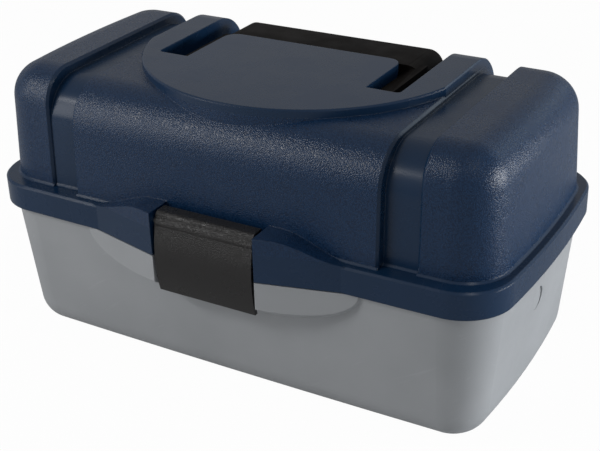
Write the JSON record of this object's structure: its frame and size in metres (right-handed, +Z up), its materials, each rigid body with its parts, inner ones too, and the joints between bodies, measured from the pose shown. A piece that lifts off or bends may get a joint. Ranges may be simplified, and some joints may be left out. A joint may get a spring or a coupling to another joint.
{
  "type": "fishing tackle box",
  "caption": "Hinged tackle box: grey tub, navy lid with platform, folding handle and over-centre latch, and cantilever trays that swing out as the lid opens.",
  "frame": {"origin": "on the resting surface, under the centre of the lid flange's outline", "axes": "+X along the length, +Y from the latch to the hinges, +Z up"},
  "size_m": [0.36, 0.209, 0.1873],
  "materials": {
    "tub_plastic": "satin light grey injection-moulded polypropylene",
    "lid_plastic": "navy polypropylene, leather-grained panels with smooth grooves, platform and flange",
    "black_plastic": "black grained plastic",
    "tray_plastic": "satin light grey plastic",
    "divider_plastic": "satin light grey plastic",
    "arm_steel": "zinc-plated flat strip",
    "pin_steel": "zinc-plated turned pin"
  },
  "bodies": {
    "tub": {"tub": "tub_plastic", "tub_pivot_pins": "pin_steel", "hinge_pin_left": "pin_steel", "hinge_pin_right": "pin_steel"},
    "lid": {"lid": "lid_plastic", "latch_pin": "pin_steel", "handle_pin_left": "pin_steel", "handle_pin_right": "pin_steel", "lid_link_pins": "pin_steel"},
    "latch": {"latch": "black_plastic"},
    "handle": {"handle": "black_plastic"},
    "front_arms": {"front_arm_left": "arm_steel", "front_arm_right": "arm_steel"},
    "rear_arms": {"rear_arm_left": "arm_steel", "rear_arm_right": "arm_steel"},
    "lower_tray": {"lower_tray": "tray_plastic", "lower_tray_rivets": "pin_steel", "lower_divider_1": "divider_plastic", "lower_divider_2": "divider_plastic", "lower_divider_3": "divider_plastic", "lower_divider_4": "divider_plastic", "lower_divider_5": "divider_plastic", "lower_divider_6": "divider_plastic"},
    "upper_tray": {"upper_tray": "tray_plastic", "upper_tray_rivets": "pin_steel", "upper_divider_1": "divider_plastic", "upper_divider_2": "divider_plastic", "upper_divider_3": "divider_plastic", "upper_divider_4": "divider_plastic", "upper_divider_5": "divider_plastic", "upper_divider_6": "divider_plastic"}
  },
  "joints": [
    {"name": "lid_hinge", "type": "hinge", "parent": "tub", "child": "lid", "pos_m": [0, 0.099, 0.095], "axis": [-1, 0, 0], "range_deg": [0, 90]},
    {"name": "latch_pivot", "type": "hinge", "parent": "lid", "child": "latch", "pos_m": [0, -0.0994, 0.115], "axis": [-1, 0, 0], "range_deg": [0, 55]},
    {"name": "handle_pivot", "type": "hinge", "parent": "lid", "child": "handle", "pos_m": [0, -0.008, 0.1776], "axis": [1, 0, 0], "range_deg": [0, 90]},
    {"name": "front_arm_pivot", "type": "hinge", "parent": "tub", "child": "front_arms", "pos_m": [0, -0.006, 0.068], "axis": [-1, 0, 0], "range_deg": [0, 90]},
    {"name": "rear_arm_pivot", "type": "hinge", "parent": "tub", "child": "rear_arms", "pos_m": [0, 0.044, 0.068], "axis": [-1, 0, 0], "range_deg": [0, 90]},
    {"name": "lower_tray_pivot", "type": "hinge", "parent": "rear_arms", "child": "lower_tray", "pos_m": [0, 0.02352, 0.08234], "axis": [-1, 0, 0], "range_deg": [-90, 0]},
    {"name": "upper_tray_pivot", "type": "hinge", "parent": "rear_arms", "child": "upper_tray", "pos_m": [0, -0.01375, 0.10844], "axis": [-1, 0, 0], "range_deg": [-90, 0]}
  ],
  "couplings": [
    {"joint": "front_arm_pivot", "follows": "lid_hinge", "ratio": 1},
    {"joint": "rear_arm_pivot", "follows": "lid_hinge", "ratio": 1},
    {"joint": "lower_tray_pivot", "follows": "lid_hinge", "ratio": -1},
    {"joint": "upper_tray_pivot", "follows": "lid_hinge", "ratio": -1}
  ]
}
